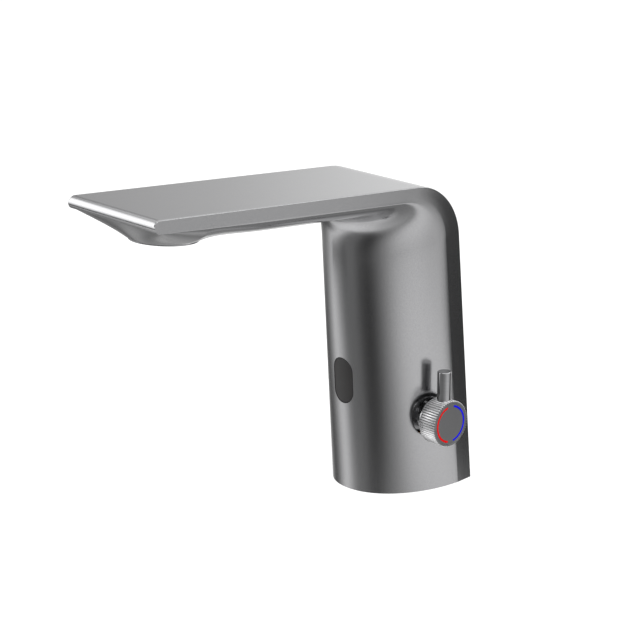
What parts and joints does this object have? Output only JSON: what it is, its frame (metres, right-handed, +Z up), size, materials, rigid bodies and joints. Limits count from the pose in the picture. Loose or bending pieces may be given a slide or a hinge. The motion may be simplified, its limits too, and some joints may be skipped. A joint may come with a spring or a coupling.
{
  "type": "sensor tap",
  "caption": "Deck-mounted sensor mixer tap with a flat folded spout plate, an oval sensor window and a knurled side knob with a lever pin.",
  "frame": {"origin": "centre of the flat base, on the basin's surface", "axes": "+Z up, -Y from the column towards the outlet, +X towards the temperature knob"},
  "size_m": [0.067, 0.172, 0.1452],
  "materials": {
    "satin_casting": "satin gunmetal coating",
    "knurled_metal": "turned and straight knurled",
    "knob_face_metal": "fine satin",
    "pin_metal": "turned, polished",
    "screw_steel": "plain stainless",
    "hot_enamel": "red fill",
    "cold_enamel": "blue fill",
    "plain_brass": "machined",
    "seal_rubber": "moulded",
    "window_plastic": "polished, passes infrared",
    "housing_plastic": "moulded",
    "board_laminate": "green solder mask",
    "diode_resin": "clear bluish",
    "filter_resin": "dark filter",
    "ivory_plastic": "moulded",
    "valve_plastic": "glass-filled",
    "valve_steel": "turned stainless",
    "coil_resin": "potted",
    "zinc_steel": "zinc-plated sheet",
    "tube_plastic": "extruded",
    "ring_metal": "plated",
    "insert_plastic": "moulded"
  },
  "bodies": {
    "tap": {"tap_body": "satin_casting", "base_plate": "plain_brass", "base_gasket": "seal_rubber", "base_screws": "screw_steel", "cable_grommet": "seal_rubber", "sensor_window": "window_plastic", "sensor_gasket": "seal_rubber", "sensor_housing": "housing_plastic", "sensor_board": "board_laminate", "ir_emitter": "diode_resin", "ir_receiver": "filter_resin", "sensor_screws": "screw_steel", "hot_inlet_tube": "plain_brass", "cold_inlet_tube": "plain_brass", "inlet_o_rings": "seal_rubber", "inlet_filters": "screw_steel", "cartridge_sleeve": "ivory_plastic", "cartridge_o_rings": "seal_rubber", "cartridge_nut": "plain_brass", "spindle_o_ring": "seal_rubber", "knob_collar": "satin_casting", "valve_body": "valve_plastic", "valve_o_ring": "seal_rubber", "valve_screws": "screw_steel", "valve_diaphragm": "seal_rubber", "valve_cover": "valve_plastic", "plunger_tube": "valve_steel", "fixed_core": "valve_steel", "plunger_spring": "valve_steel", "solenoid_coil": "coil_resin", "coil_yoke": "zinc_steel", "spout_tube": "tube_plastic", "spout_tube_o_rings": "seal_rubber", "aerator_housing": "ring_metal", "aerator_insert": "insert_plastic", "aerator_seal": "seal_rubber"},
    "knob": {"knob_sleeve": "knurled_metal", "knob_face": "knob_face_metal", "hot_mark": "hot_enamel", "cold_mark": "cold_enamel", "lever_pin": "pin_metal", "grub_screw": "screw_steel", "mixing_spool": "plain_brass"},
    "plunger": {"valve_plunger": "valve_steel"}
  },
  "joints": [
    {"name": "knob_turn", "type": "hinge", "parent": "tap", "child": "knob", "pos_m": [0.0345, -0.0009, 0.0338], "axis": [1, 0, 0], "range_deg": [-45, 45]},
    {"name": "plunger_lift", "type": "slide", "parent": "tap", "child": "plunger", "axis": [0, 0, 1], "range_m": [0, 0.0015], "stiffness_N_per_m": 150, "springref_m": -0.004, "deforming": ["plunger_spring"]}
  ]
}
